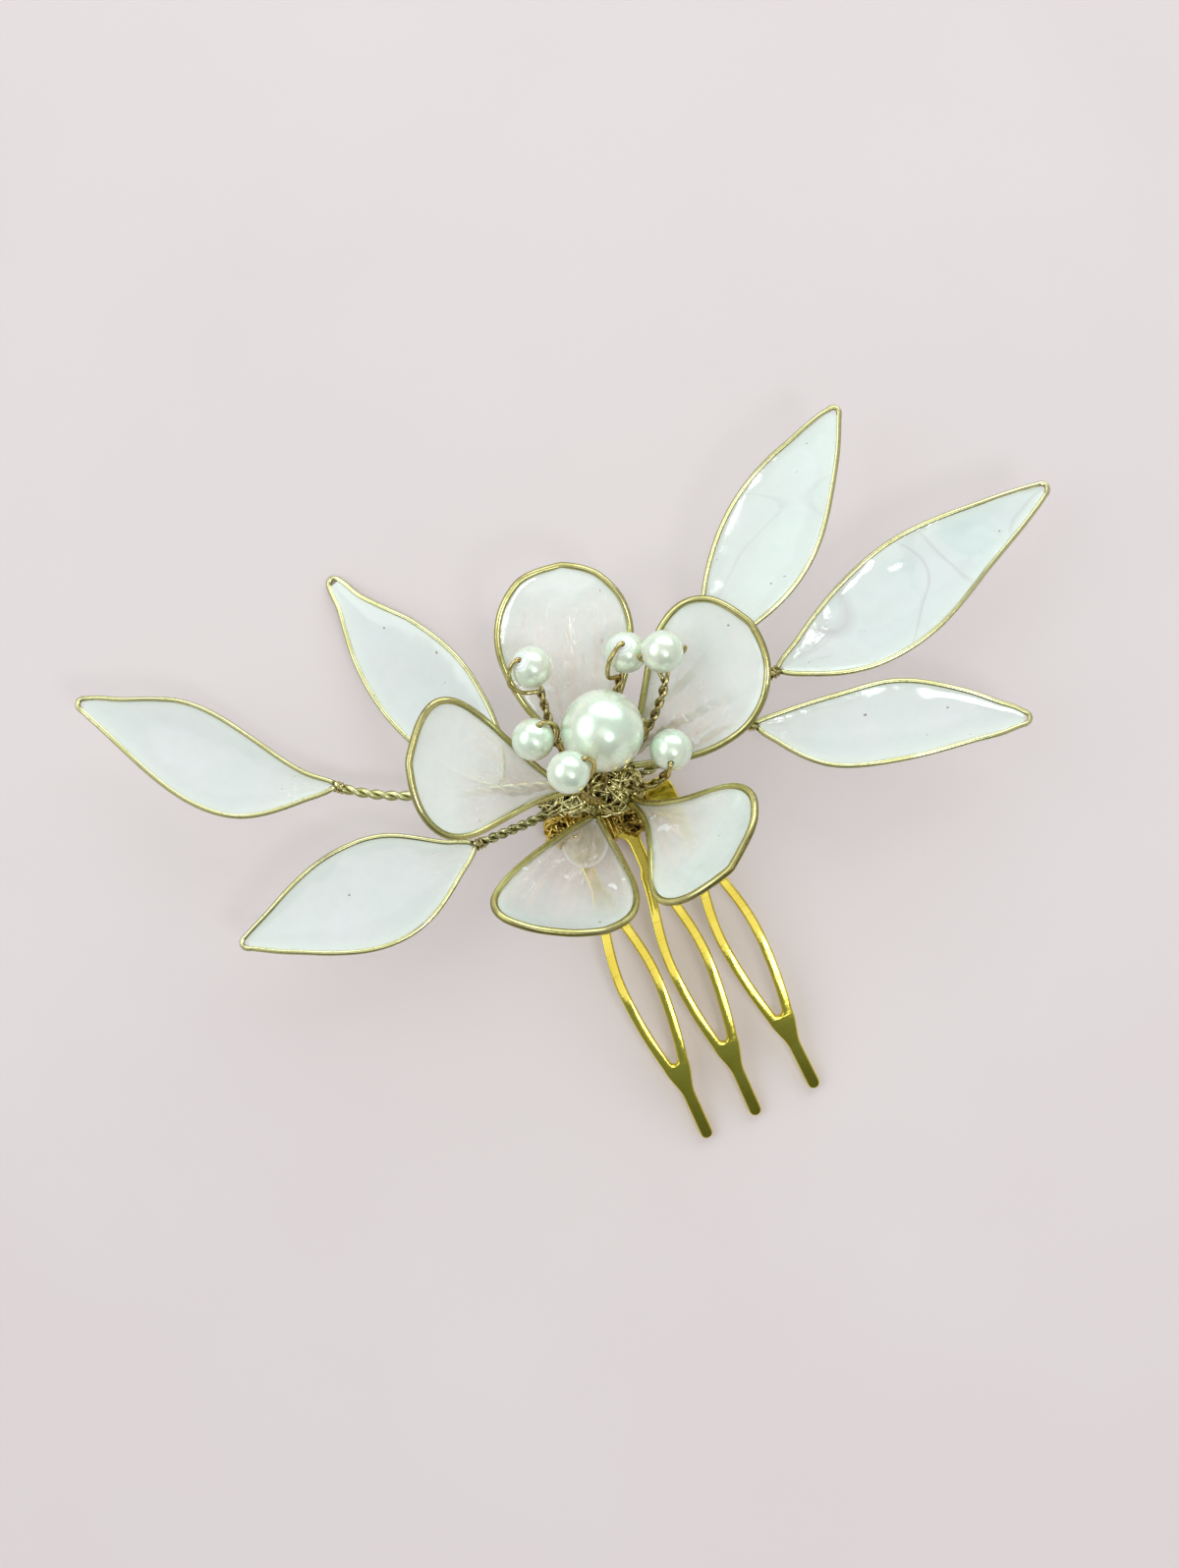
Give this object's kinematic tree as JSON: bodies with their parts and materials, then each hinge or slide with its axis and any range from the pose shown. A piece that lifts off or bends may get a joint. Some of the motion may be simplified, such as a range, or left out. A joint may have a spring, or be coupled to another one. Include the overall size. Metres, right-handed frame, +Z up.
{
  "type": "floral hair comb",
  "caption": "Gilt metal hair comb with a flower and leaves of wire loops filled with milky resin, and pearls on twisted wire stems.",
  "frame": {"origin": "on the table, under the middle of the spine's back edge", "axes": "+X along the comb's spine, tines point to -Y, +Z up out of the flower; the comb lies flat"},
  "size_m": [0.1185, 0.0846, 0.029],
  "materials": {
    "comb_gold": "polished gilt",
    "binding_gold": "polished gilt",
    "wire_gold": "worn antique gold wire",
    "milky_resin": "glossy translucent film",
    "pearl": "pearlescent gloss",
    "clear_glue": "clear gloss"
  },
  "bodies": {
    "root": {"comb": "comb_gold", "comb_binding": "binding_gold", "flower_knot": "wire_gold", "glue_drop": "clear_glue", "petal_wire_1": "wire_gold", "petal_resin_1": "milky_resin", "petal_wire_2": "wire_gold", "petal_resin_2": "milky_resin", "petal_wire_3": "wire_gold", "petal_resin_3": "milky_resin", "petal_wire_4": "wire_gold", "petal_resin_4": "milky_resin", "petal_wire_5": "wire_gold", "petal_resin_5": "milky_resin", "leaf_wire_1": "wire_gold", "leaf_resin_1": "milky_resin", "leaf_wire_2": "wire_gold", "leaf_resin_2": "milky_resin", "leaf_wire_3": "wire_gold", "leaf_resin_3": "milky_resin", "leaf_wire_4": "wire_gold", "leaf_resin_4": "milky_resin", "leaf_wire_5": "wire_gold", "leaf_resin_5": "milky_resin", "leaf_wire_6": "wire_gold", "leaf_resin_6": "milky_resin", "pearl_centre": "pearl", "pearl_centre_wire": "wire_gold", "pearl_1": "pearl", "pearl_wire_1": "wire_gold", "pearl_2": "pearl", "pearl_wire_2": "wire_gold", "pearl_3": "pearl", "pearl_wire_3": "wire_gold", "pearl_4": "pearl", "pearl_wire_4": "wire_gold", "pearl_5": "pearl", "pearl_wire_5": "wire_gold", "pearl_6": "pearl", "pearl_wire_6": "wire_gold"}
  },
  "joints": []
}
